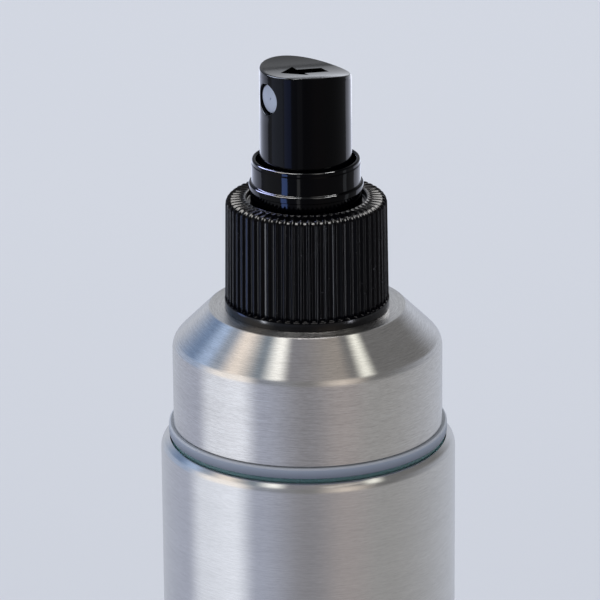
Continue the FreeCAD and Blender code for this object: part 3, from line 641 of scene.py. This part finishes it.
def button():
    cols, half = 144, 10
    step = 2 * math.pi / cols
    foot, rf, rtp = 147.8, 7.83, 7.74
    nz, nr_ = 161.3, 2.66
    radius = lambda z: rf + (rtp - rf) * (z - foot) / (167.97 - foot)
    dz = step * 7.7
    z_lo, z_hi = nz - half * dz, nz + half * dz
    rho = 0.36
    ang = [-math.pi / 2 + (j - cols // 2) * step for j in range(cols)]    # nozzle column = cols // 2
    verts, faces = [], []

    def add(p):
        verts.append((p[0] * MM, p[1] * MM, p[2] * MM))
        return len(verts) - 1

    def ring(fr, fz):
        out = []
        for a in ang:
            r = fr(a)
            x, y = r * math.cos(a), r * math.sin(a)
            out.append(add((x, y, fz(a, x, y))))
        return out

    rows = []
    # inside, from the stem socket out to the foot
    inner = [(0.0, 160.05), (2.04, 160.05), (2.04, 150.9), (2.34, 150.5), (3.3, 150.5), (3.4, 150.6),
             (3.4, 157.6), (6.6, 157.6), (6.75, 157.45), (6.75, 152.0), (6.75, 148.1), (6.95, 147.85),
             (7.3, 147.8), (7.68, 147.8), (7.80, 147.86), (7.83, 147.98)]
    pole = add((0, 0, 160.05))
    for (r, z) in inner[1:]:
        rows.append(ring(lambda a, r=r: r, lambda a, x, y, z=z: z))
    for j in range(cols):
        faces.append((pole, rows[0][(j + 1) % cols], rows[0][j]))
    # outer wall up to the recess band
    z = 148.6
    while z < z_lo - 0.5:
        rows.append(ring(lambda a, z=z: radius(z), lambda a, x, y, z=z: z))
        z += 0.9
    first_band = len(rows)
    for k in range(2 * half + 1):
        # the band keeps its even height at the nozzle and closes up under the low rear rim
        def zb(a, x, y, k=k):
            limit = min(z_hi, float(top_level(x, y)) - rho - 0.25)
            return z_lo + (limit - z_lo) * k / (2.0 * half)
        rows.append(ring(lambda a: radius(161.3), zb))
    last_band = len(rows) - 1
    for k in (0.35, 0.7, 1.0):
        def zf(a, x, y, k=k):
            rim = float(top_level(x, y)) - rho
            limit = min(z_hi, rim - 0.25)
            return limit + (rim - limit) * k
        rows.append(ring(lambda a: radius(165.0), zf))
    for k in range(1, 9):
        al = math.radians(90.0 * k / 8)
        rows.append(ring(lambda a, al=al: radius(165.2) - rho * (1 - math.cos(al)),
                         lambda a, x, y, al=al: float(top_level(x, y)) - rho * (1 - math.sin(al))))
    for r in (7.1, 6.8, 6.4, 6.0, 5.5, 5.0, 4.5, 4.0, 3.5, 3.0, 2.5, 2.0, 1.5, 1.0, 0.5):
        rows.append(ring(lambda a, r=r: r, lambda a, x, y: float(top_level(x, y))))
    tip = add((0, 0, float(top_level(0, 0))))
    c0 = cols // 2
    for i in range(len(rows) - 1):
        for j in range(cols):
            j2 = (j + 1) % cols
            if first_band <= i < last_band and c0 - half <= j < c0 + half:
                continue
            faces.append((rows[i][j], rows[i][j2], rows[i + 1][j2], rows[i + 1][j]))
    for j in range(cols):
        faces.append((rows[-1][j], rows[-1][(j + 1) % cols], tip))
    # square patch that closes in on the round recess
    border = []
    for j in range(-half, half):
        border.append((j, -half))
    for k in range(-half, half):
        border.append((half, k))
    for j in range(half, -half, -1):
        border.append((j, half))
    for k in range(half, -half, -1):
        border.append((-half, k))
    prev = [rows[first_band + half + k][c0 + j] for j, k in border]
    # match the circle's points to the square's by direction
    dirs = [math.atan2(k, j) for j, k in border]

    def on_wall(u, w, sink=0.0):
        """u: distance across, w: height, both from the recess axis; sink: depth below the wall."""
        z = nz + w
        r = radius(z)
        a = -math.pi / 2 + u / 7.77
        x, y = r * math.cos(a), r * math.sin(a)
        return x, y + sink, z

    side = half * dz
    edge = nr_ + 0.15
    loops = []
    for t in (0.25, 0.5, 0.72, 0.88, 1.0):
        loop = []
        for (j, k), d in zip(border, dirs):
            sx, sz = j * dz, k * dz
            cxp, czp = edge * math.cos(d), edge * math.sin(d)
            loop.append(add(on_wall(sx + (cxp - sx) * t, sz + (czp - sz) * t)))
        loops.append(loop)
    for k in range(1, 5):
        al = math.radians(90.0 * k / 4)
        rr = nr_ + 0.15 * (1 - math.sin(al))
        loops.append([add(on_wall(rr * math.cos(d), rr * math.sin(d), 0.15 * (1 - math.cos(al)))) for d in dirs])
    y_floor = -(7.83 - 3.0)
    for frac in (0.5, 1.0):
        loop = []
        for d in dirs:
            x, y, z = on_wall(nr_ * math.cos(d), nr_ * math.sin(d), 0.15)
            x = nr_ * math.cos(d)
            loop.append(add((x, y + (y_floor - y) * frac, nz + nr_ * math.sin(d))))
        loops.append(loop)
    for r in (1.8, 0.9):
        loops.append([add((r * math.cos(d), y_floor, nz + r * math.sin(d))) for d in dirs])
    centre = add((0, y_floor, nz))
    chain = [prev] + loops
    n = len(prev)
    for A, B in zip(chain, chain[1:]):
        for j in range(n):
            j2 = (j + 1) % n
            faces.append((A[j], A[j2], B[j2], B[j]))
    for j in range(n):
        faces.append((chain[-1][j], chain[-1][(j + 1) % n], centre))
    ob = new_object("button_cap", verts, faces)
    weld(ob, 1e-7, 35.0)
    return ob


def press_arrow(cap):
    """Sinks a shallow arrow into the top; it points at the nozzle."""
    flat = [(0.0, -4.9), (2.8, -0.9), (1.25, -0.9), (1.25, 3.9), (-1.25, 3.9), (-1.25, -0.9), (-2.8, -0.9)]
    k = math.tan(math.radians(5.9))
    lo = [(x * MM, y * MM, (164.97 - k * y - 0.30) * MM) for x, y in flat]
    hi = [(x * MM, y * MM, (164.97 - k * y + 3.0) * MM) for x, y in flat]
    n = len(flat)
    faces = [tuple(range(n))[::-1], tuple(range(n, 2 * n))]
    faces += [(i, (i + 1) % n, n + (i + 1) % n, n + i) for i in range(n)]
    cutter = new_object("arrow_cutter", lo + hi, faces, None)
    fix_normals(cutter)
    cutter.data.materials.append(M["mark"])
    cap.data.materials.clear()
    cap.data.materials.append(M["button"])
    mod = cap.modifiers.new("cut", "BOOLEAN")
    mod.operation, mod.solver, mod.object = "DIFFERENCE", "EXACT", cutter
    mod.material_mode = "TRANSFER"
    deps = bpy.context.evaluated_depsgraph_get()
    me = bpy.data.meshes.new_from_object(cap.evaluated_get(deps))
    cap.modifiers.clear()
    if len(me.polygons) > 1000:
        me.polygons.foreach_set("use_smooth", [True] * len(me.polygons))
        me.set_sharp_from_angle(angle=math.radians(30))
        cap.data = me
    bpy.data.objects.remove(cutter)
    return cap


ob = press_arrow(button())
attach(ob, "button")
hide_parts("actuator")

# nozzle insert, turned about the -Y axis
prof = rounded([(0.16, 0.9), (1.3, 0.9), (1.3, 0.02), (2.64, 0.02), (2.64, 1.2, 0.1), (2.42, 1.42, 0.1),
                (2.42, 2.18, 0.14), (0.42, 2.18, 0.2), (0.16, 2.04, 0.03)], 6)
v, f = lathe_data(prof, 96)
v = [(x, -(7.83 - 3.0) * MM - z, 161.3 * MM + y) for (x, y, z) in v]
ob = new_object("nozzle_face", v, f)
fix_normals(ob)
stand_in(ob, "nozzle", "nozzle_insert", "button")


# ---------------------------------------------------------------------------
# return spring, with closed end coils
# ---------------------------------------------------------------------------
def spring():
    lo_z, hi_z, R, wr = 113.30 + 0.25, 124.90 - 0.25, 2.25, 0.25
    turns, steps, ns = 7.5, 40, 12
    n = int(turns * steps) + 1
    verts, faces = [], []
    for i in range(n):
        t = i / (n - 1)
        tt = turns * t
        # one closed coil at each end
        w = np.interp(tt, [0, 1, turns - 1, turns], [0, 0.05, 0.95, 1.0])
        a = 2 * math.pi * tt
        zc = lo_z + (hi_z - lo_z) * w
        c = np.array([R * math.cos(a), R * math.sin(a), zc])
        er = np.array([math.cos(a), math.sin(a), 0])
        ez = np.array([0, 0, 1.0])
        for k in range(ns):
            b = 2 * math.pi * k / ns
            verts.append(tuple((c + wr * (math.cos(b) * er + math.sin(b) * ez)) * MM))
    for i in range(n - 1):
        for k in range(ns):
            k2 = (k + 1) % ns
            faces.append((i * ns + k, i * ns + k2, (i + 1) * ns + k2, (i + 1) * ns + k))
    faces.append(tuple(range(ns))[::-1])
    faces.append(tuple((n - 1) * ns + k for k in range(ns)))
    ob = new_object("spring_coil", verts, faces)
    fix_normals(ob)
    return ob


ob = stand_in(spring(), "wire", "return_spring", "pump_unit")
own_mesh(ob)

# ---------------------------------------------------------------------------
# inside pieces keep their CAD shapes and get their own finishes
# ---------------------------------------------------------------------------
for node, key in (("base_cushion", "foam"), ("centring_band", "band"), ("neck_gasket", "gasket"),
                  ("pump_housing", "natural"), ("stem_guide", "natural"), ("stem", "natural"),
                  ("piston", "soft"), ("spring_seat", "natural"), ("ball_cage", "natural"),
                  ("inlet_ball", "wire"), ("dip_tube", "tube")):
    o = nodes[node]
    if len(o.material_slots):
        for s in o.material_slots:
            s.material = M[key]
    else:
        o.data.materials.append(M[key])

# ---------------------------------------------------------------------------
# floor
# ---------------------------------------------------------------------------
m = Mat("floor_pale")
cloud = m.noise(m.scaled(0.002, 0.002, 0.002), 1.0, 2.0, 0.5)
tone = m.mix(m.remap(cloud, 0.3, 0.7, 0.0, 1.0), (0.600, 0.630, 0.700), (0.615, 0.645, 0.712))
p = m.principled(Roughness=0.9)
m.link(tone, p.inputs["Base Color"])
p.inputs["Specular IOR Level"].default_value = 0.0
pale = m.n("ShaderNodeEmission")
pale.inputs["Color"].default_value = (0.617, 0.645, 0.716, 1.0)
far = m.n("ShaderNodeMapRange", interpolation_type="SMOOTHSTEP")
m.link(m.radius(), far.inputs["Value"])
far.inputs["From Min"].default_value = 0.75
far.inputs["From Max"].default_value = 2.0
fade = m.n("ShaderNodeMixShader")
m.link(far.outputs["Result"], fade.inputs[0])
m.link(p.outputs[0], fade.inputs[1])
m.link(pale.outputs[0], fade.inputs[2])
m.link(fade.outputs[0], m.out.inputs["Surface"])
m.m.cycles.emission_sampling = "NONE"
me = bpy.data.meshes.new("floor")
me.from_pydata([(-12, -12, 0), (12, -12, 0), (12, 12, 0), (-12, 12, 0)], [], [(0, 1, 2, 3)])
floor = bpy.data.objects.new("floor", me)
bpy.context.scene.collection.objects.link(floor)
floor.location.z = -0.0002
me.materials.append(m.m)
floor.visible_glossy = False
floor.visible_shadow = False          # nothing stands under it

# ---------------------------------------------------------------------------
# studio: a ring of soft panels round the object and lamps above it, drawn in
# the world
# ---------------------------------------------------------------------------
world = bpy.data.worlds.new("studio")
bpy.context.scene.world = world
world.use_nodes = True
wt = world.node_tree
wt.nodes.clear()


def wn(kind, **kw):
    node = wt.nodes.new(kind)
    for k, v in kw.items():
        setattr(node, k, v)
    return node


def wmath(op, a, b=None, clamp=False):
    node = wn("ShaderNodeMath", operation=op, use_clamp=clamp)
    for i, v in enumerate((a, b)):
        if v is None:
            continue
        if isinstance(v, bpy.types.NodeSocket):
            wt.links.new(v, node.inputs[i])
        else:
            node.inputs[i].default_value = v
    return node.outputs[0]


az = math.radians(CAM_AZ)
to_cam = (math.sin(az), -math.cos(az), 0.0)
right = (math.cos(az), math.sin(az), 0.0)
tc = wn("ShaderNodeTexCoord")


def wdot(v, ray):
    node = wn("ShaderNodeVectorMath", operation="DOT_PRODUCT")
    wt.links.new(ray, node.inputs[0])
    node.inputs[1].default_value = v
    return node.outputs["Value"]


# The room is drawn by which way a mirror has to face to show it to the camera: that
# direction is half way between the ray and the line to the camera.
elv = math.radians(CAM_EL)
VIEW = (to_cam[0] * math.cos(elv), to_cam[1] * math.cos(elv), math.sin(elv))
facing = wn("ShaderNodeVectorMath", operation="ADD")
wt.links.new(tc.outputs["Generated"], facing.inputs[0])
facing.inputs[1].default_value = VIEW
unit = wn("ShaderNodeVectorMath", operation="NORMALIZE")
wt.links.new(facing.outputs[0], unit.inputs[0])
angle = wmath("ARCTAN2", wdot(right, unit.outputs[0]), wdot(to_cam, unit.outputs[0]))
turn = wmath("ADD", wmath("DIVIDE", angle, math.pi), 0.5)          # 0..1, 0.5 towards the camera
turn = wmath("PINGPONG", turn, 1.0)                                # the room behind repeats, mirrored
height = wmath("ARCSINE", wdot((0, 0, 1), unit.outputs[0]))
height = wmath("DIVIDE", height, math.pi / 180)                    # 0 a wall, 90 a table top


def lin(c):
    c = c / 255.0
    return c / 12.92 if c <= 0.04045 else ((c + 0.055) / 1.055) ** 2.4


def ramp(stops, gain):
    node = wn("ShaderNodeValToRGB")
    r = node.color_ramp
    r.interpolation = "EASE"
    while len(r.elements) > 1:
        r.elements.remove(r.elements[-1])
    first = True
    for deg, rgb in stops:
        pos = deg / 360.0 + 0.5
        if first:
            e = r.elements[0]
            e.position = pos
            first = False
        else:
            e = r.elements.new(pos)
        e.color = (*[lin(c) * gain for c in rgb], 1.0)
    wt.links.new(turn, node.inputs[0])
    return node.outputs["Color"]


# a few soft boxes in round tones: what upright walls see
LOW = [(-180, (180, 185, 195)), (-110, (160, 165, 180)), (-90, (210, 215, 225)), (-60, (220, 225, 235)),
       (-40, (155, 160, 175)), (0, (130, 130, 135)), (30, (150, 145, 145)), (60, (145, 145, 145)),
       (180, (180, 185, 195))]
# what the bend sees
MIDDLE = [(-180, (180, 185, 195)), (-115, (150, 165, 190)), (-80, (240, 235, 230)), (-60, (240, 235, 230)),
          (-40, (130, 135, 145)), (0, (120, 120, 120)), (30, (200, 190, 180)), (60, (105, 105, 105)),
          (180, (180, 185, 195))]
# what the cone sees: two soft boxes and two narrow strip lights
HIGH = [(-180, (180, 185, 195)), (-125, (110, 130, 160)), (-105, (160, 180, 210)), (-90, (140, 150, 165)),
        (-70, (230, 220, 210)), (-45, (120, 130, 140)), (-28, (255, 255, 250)), (-15, (125, 125, 130)),
        (30, (140, 135, 130)), (42, (110, 110, 110)), (54, (240, 240, 230)), (66, (105, 105, 105)),
        (120, (105, 105, 105)), (180, (180, 185, 195))]
GAIN = 1.05
low_c = ramp(LOW[:32], GAIN)
mid_c = ramp(MIDDLE[:32], GAIN)
high_c = ramp(HIGH[:32], GAIN)


def wblend(lo_el, hi_el, a, b):
    f = wn("ShaderNodeMapRange", interpolation_type="SMOOTHSTEP")
    wt.links.new(height, f.inputs["Value"])
    f.inputs["From Min"].default_value = lo_el
    f.inputs["From Max"].default_value = hi_el
    node = wn("ShaderNodeMix", data_type="RGBA")
    wt.links.new(f.outputs["Result"], node.inputs[0])
    wt.links.new(a, node.inputs[6])
    wt.links.new(b, node.inputs[7])
    return node.outputs[2]


flat_c = wn("ShaderNodeRGB")
flat_c.outputs[0].default_value = (lin(168), lin(171), lin(176), 1.0)
sky_c = wblend(35.0, 42.0, wblend(17.0, 21.0, low_c, mid_c), high_c)
sky_c = wblend(64.0, 80.0, sky_c, flat_c.outputs[0])
# straight behind the object the half way direction is lost, so the room goes plain there
size = wn("ShaderNodeVectorMath", operation="LENGTH")
wt.links.new(facing.outputs[0], size.inputs[0])
away = wn("ShaderNodeMapRange", interpolation_type="SMOOTHSTEP")
wt.links.new(size.outputs["Value"], away.inputs["Value"])
away.inputs["From Min"].default_value = 0.15
away.inputs["From Max"].default_value = 0.50
calm = wn("ShaderNodeMix", data_type="RGBA")
wt.links.new(away.outputs["Result"], calm.inputs[0])
calm.inputs[6].default_value = (lin(181), lin(186), lin(197), 1.0)
wt.links.new(sky_c, calm.inputs[7])
sky_c = calm.outputs[2]
paths = wn("ShaderNodeLightPath")
show = wn("ShaderNodeMix", data_type="RGBA")
wt.links.new(paths.outputs["Is Camera Ray"], show.inputs[0])
wt.links.new(sky_c, show.inputs[6])
show.inputs[7].default_value = (lin(206), lin(210), lin(220), 1.0)
bg = wn("ShaderNodeBackground")
wt.links.new(show.outputs[2], bg.inputs["Color"])
bg.inputs["Strength"].default_value = 1.0
wo = wn("ShaderNodeOutputWorld")
wt.links.new(bg.outputs[0], wo.inputs["Surface"])

# a wide overhead light that lifts the floor to its pale tone; mirrors don't see it
light = bpy.data.lights.new("overhead", "AREA")
light.shape = "DISK"
light.size = 2.4
light.energy = 42.5
lo = bpy.data.objects.new("overhead", light)
lo.location = (-0.7 * to_cam[0], -0.7 * to_cam[1], 2.2)
lo.visible_glossy = False
bpy.context.scene.collection.objects.link(lo)
pale_things = bpy.data.collections.new("lit_from_above")
for name in ("floor", "seat_ring", "nozzle_face", "glass_body"):
    pale_things.objects.link(bpy.data.objects[name])
lo.light_linking.receiver_collection = pale_things

# lamps that only the black mouldings mirror, and one for the sleeve's lip
BLACK = {}
for key, names in (("gloss", ("collar_shell", "button_cap")), ("ribs", ("closure_ribbed",)),
                   ("cap", ("button_cap",)), ("collar", ("collar_shell",)), ("lip", ("sleeve_shell",)),
                   ("all", ("collar_shell", "button_cap", "closure_ribbed"))):
    BLACK[key] = bpy.data.collections.new("mirrors_" + key)
    for name in names:
        BLACK[key].objects.link(bpy.data.objects[name])


def lamp(name, turn_deg, tilt_deg, wide, tall, colour, radiance, key, dist=1.2):
    """A panel, wide x tall degrees, that the camera sees in a mirror facing turn/tilt.

    turn is counted from the camera's side, positive to its right; tilt is 0 for a wall."""
    a, e = math.radians(turn_deg), math.radians(tilt_deg)
    face = (Vector(to_cam) * math.cos(a) + Vector(right) * math.sin(a)) * math.cos(e) + Vector((0, 0, math.sin(e)))
    eye = Vector(VIEW)
    way = (face * (2.0 * face.dot(eye)) - eye).normalized()
    L = bpy.data.lights.new(name, "AREA")
    L.shape = "RECTANGLE"
    L.size = 2 * dist * math.tan(math.radians(wide / 2))
    L.size_y = 2 * dist * math.tan(math.radians(tall / 2))
    L.color = colour
    L.energy = radiance * 4.0 * L.size * L.size_y
    ob = bpy.data.objects.new(name, L)
    ob.location = Vector((0, 0, 0.150)) + way * dist
    ob.rotation_euler = (-way).to_track_quat("-Z", "Y").to_euler()
    ob.visible_camera = False
    ob.visible_diffuse = False
    ob.visible_transmission = False
    ob.light_linking.receiver_collection = BLACK[key]
    bpy.context.scene.collection.objects.link(ob)
    return ob


for row in (
        # name, turn, tilt, wide, tall, colour, radiance, receivers
        ("strip_blue", -23.0, 0, 12, 40, (0.22, 0.38, 1.0), 8.5, "collar"),
        ("strip_blue_b", -23.0, 0, 18, 40, (0.26, 0.38, 1.0), 1.1, "cap"),
        ("strip_left", -70, 0, 60, 40, (0.72, 0.78, 1.0), 1.2, "gloss"),
        ("strip_left_b", -38, 0, 34, 40, (0.50, 0.62, 1.0), 0.6, "cap"),
        ("strip_right", 73, 0, 50, 40, (0.80, 0.84, 1.0), 1.2, "gloss"),
        ("strip_front", -7.9, 0, 6, 40, (0.95, 0.97, 1.0), 1.6, "collar"),
        ("strip_front_b", -7.0, 0, 12, 40, (0.90, 0.90, 1.0), 0.16, "cap"),
        ("strip_side", 44.3, 0, 9, 40, (0.85, 0.92, 1.0), 0.8, "collar"),
        ("lamp_a", -50, 44, 22, 40, (0.55, 0.60, 1.0), 90.0, "collar"),
        ("lamp_b", -25, 44, 14, 40, (1.0, 0.96, 0.94), 60.0, "collar"),
        ("lamp_c", 13.5, 42, 12, 30, (1.0, 0.97, 0.93), 12.0, "collar"),
        ("lamp_d", 27, 45, 4, 22, (1.0, 1.0, 1.0), 220.0, "collar"),
        ("lamp_e", -12.8, 45, 4, 30, (0.95, 0.98, 1.0), 80.0, "gloss"),
        ("lamp_f", -42, 45, 30, 36, (0.72, 0.80, 1.0), 30.0, "cap"),
        ("ceiling", 0, 54, 70, 30, (0.92, 0.95, 1.0), 2.0, "gloss"),
        ("back_low", 0, 100, 110, 34, (0.90, 0.93, 1.0), 0.6, "cap"),
        ("back_mid", 0, 82, 110, 30, (0.93, 0.95, 1.0), 0.45, "cap"),
        ("rib_left", -31, 0, 6, 50, (0.86, 0.90, 1.0), 13.0, "ribs"),
        ("rib_right", 31, 0, 5, 50, (0.88, 0.90, 1.0), 9.0, "ribs"),
        ("rib_blue", -51, 0, 12, 50, (0.28, 0.42, 1.0), 3.6, "ribs"),
        ("rib_back", 0, 88, 120, 30, (0.93, 0.95, 1.0), 0.5, "ribs"),
        ("rib_far", 60, 62, 30, 40, (1.0, 1.0, 1.0), 4.0, "ribs"),
        ("lip_front", 15, 47, 30, 9, (1.0, 0.93, 0.84), 0.30, "lip"),
        ("rib_top", 2, 44, 50, 36, (1.0, 0.98, 0.96), 30.0, "ribs"),
):
    lamp(*row)

# ---------------------------------------------------------------------------
# camera
# ---------------------------------------------------------------------------
el = math.radians(CAM_EL)
T0 = Vector((0, 0, Z0 * MM))
rv = Vector(right)
cam_pos = T0 + Vector((math.sin(az) * math.cos(el), -math.cos(az) * math.cos(el), math.sin(el))) * CAM_DIST
target = T0 + rv * (-1.205 * MM) + Vector((0, 0, 0.65 * MM))
fwd = (target - cam_pos).normalized()
rgt = fwd.cross(Vector((0, 0, 1))).normalized()
up = rgt.cross(fwd)
cr, sr = math.cos(math.radians(CAM_ROLL)), math.sin(math.radians(CAM_ROLL))
rgt2 = rgt * cr + up * sr
up2 = up * cr - rgt * sr
cam = bpy.data.cameras.new("camera")
cam.sensor_width = 36.0
cam.lens = CAM_F / 600.0 * 36.0
cam.clip_start, cam.clip_end = 0.01, 50.0
cam_ob = bpy.data.objects.new("camera", cam)
cam_ob.matrix_world = Matrix((
    (rgt2.x, up2.x, -fwd.x, cam_pos.x),
    (rgt2.y, up2.y, -fwd.y, cam_pos.y),
    (rgt2.z, up2.z, -fwd.z, cam_pos.z),
    (0, 0, 0, 1)))
bpy.context.scene.collection.objects.link(cam_ob)
bpy.context.scene.camera = cam_ob

sc = bpy.context.scene
sc.view_settings.view_transform = "Standard"
sc.view_settings.look = "None"
sc.view_settings.exposure = 0.0
sc.view_settings.gamma = 1.0
